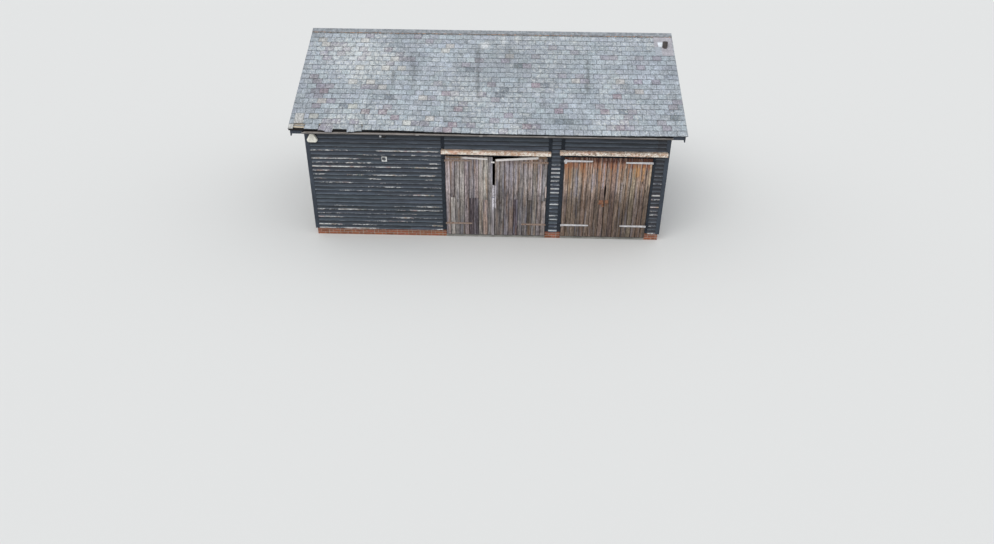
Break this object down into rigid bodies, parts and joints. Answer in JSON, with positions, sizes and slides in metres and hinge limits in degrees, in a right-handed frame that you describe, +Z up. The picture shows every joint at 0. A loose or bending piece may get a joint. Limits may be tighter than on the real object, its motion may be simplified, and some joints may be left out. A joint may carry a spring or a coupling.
{
  "type": "timber barn with cart doors",
  "caption": "Long low black weatherboarded barn with a slate gable roof, weathered timber lintels and two pairs of hinged boarded cart doors in its front",
  "frame": {"origin": "on the ground at the middle of the plan", "axes": "+X runs along the front to the right as seen from outside, -Y is the front with the doors, +Z is up"},
  "size_m": [10.852, 7.67, 5.2191],
  "materials": {
    "concrete": "rough, dusty",
    "brick": "rough, weathered",
    "frame_timber": "sawn, dry",
    "slate": "riven, weathered, with lichen",
    "ridge_clay": "matt, weathered",
    "black_paint": "old paint, worn to the wood on the lower edges",
    "gutter_paint": "old grey paint",
    "lintel_paint": "peeling cream paint",
    "grey_door_boards": "bare, silvered",
    "brown_door_boards": "bare, weathered brown",
    "rusty_iron": "rusty, with old paint",
    "zinc_coating": "galvanised, dulled",
    "cream_plastic": "sun-faded",
    "white_plastic": "plain",
    "lead_and_clay": "dull, weathered"
  },
  "bodies": {
    "barn": {"alarm_box": "cream_plastic", "battens_back": "frame_timber", "battens_front": "frame_timber", "boarding_back": "black_paint", "boarding_front_left": "black_paint", "boarding_front_right": "black_paint", "boarding_left": "black_paint", "boarding_over_left_doors": "black_paint", "boarding_over_right_doors": "black_paint", "boarding_pier": "black_paint", "boarding_right": "black_paint", "corner_boards": "black_paint", "door_heads": "frame_timber", "fascia_back": "black_paint", "fascia_front": "black_paint", "floor_slab": "concrete", "frame_back": "frame_timber", "frame_front_left": "frame_timber", "frame_front_right": "frame_timber", "frame_left": "frame_timber", "frame_pier": "frame_timber", "frame_right": "frame_timber", "gutter_back": "gutter_paint", "gutter_front": "gutter_paint", "hinge_pins": "rusty_iron", "lintel_left": "lintel_paint", "lintel_right": "lintel_paint", "plinth_back": "brick", "plinth_front": "brick", "plinth_left": "brick", "plinth_right": "brick", "purlins": "frame_timber", "rafters_back": "frame_timber", "rafters_front": "frame_timber", "ridge_board": "frame_timber", "ridge_tiles": "ridge_clay", "roof_vent": "lead_and_clay", "slates_back": "slate", "slates_front": "slate", "truss_left": "frame_timber", "truss_right": "frame_timber", "verge_boards_left": "black_paint", "verge_boards_right": "black_paint", "wall_lamp": "white_plastic", "wall_plate_back": "frame_timber", "wall_plate_front": "frame_timber", "wall_vent": "cream_plastic"},
    "left_bay_left_door": {"left_bay_left_leaf": "grey_door_boards", "left_bay_left_straps": "rusty_iron", "meeting_strip": "grey_door_boards"},
    "left_bay_right_door": {"left_bay_right_leaf": "grey_door_boards", "left_bay_right_straps": "rusty_iron"},
    "right_bay_left_door": {"right_bay_left_leaf": "brown_door_boards", "right_bay_left_straps": "zinc_coating", "hasp_and_padlock": "rusty_iron"},
    "right_bay_right_door": {"right_bay_right_leaf": "brown_door_boards", "right_bay_right_straps": "zinc_coating"}
  },
  "joints": [
    {"name": "left_bay_left_hinge", "type": "hinge", "parent": "barn", "child": "left_bay_left_door", "pos_m": [-1.185, -3.551, 1.3], "axis": [0, 0, -1], "range_deg": [0, 110]},
    {"name": "left_bay_right_hinge", "type": "hinge", "parent": "barn", "child": "left_bay_right_door", "pos_m": [1.696, -3.551, 1.3], "axis": [0, 0, 1], "range_deg": [0, 95]},
    {"name": "right_bay_left_hinge", "type": "hinge", "parent": "barn", "child": "right_bay_left_door", "pos_m": [2.154, -3.551, 1.3], "axis": [0, 0, -1], "range_deg": [0, 95]},
    {"name": "right_bay_right_hinge", "type": "hinge", "parent": "barn", "child": "right_bay_right_door", "pos_m": [4.616, -3.551, 1.3], "axis": [0, 0, 1], "range_deg": [0, 110]}
  ]
}
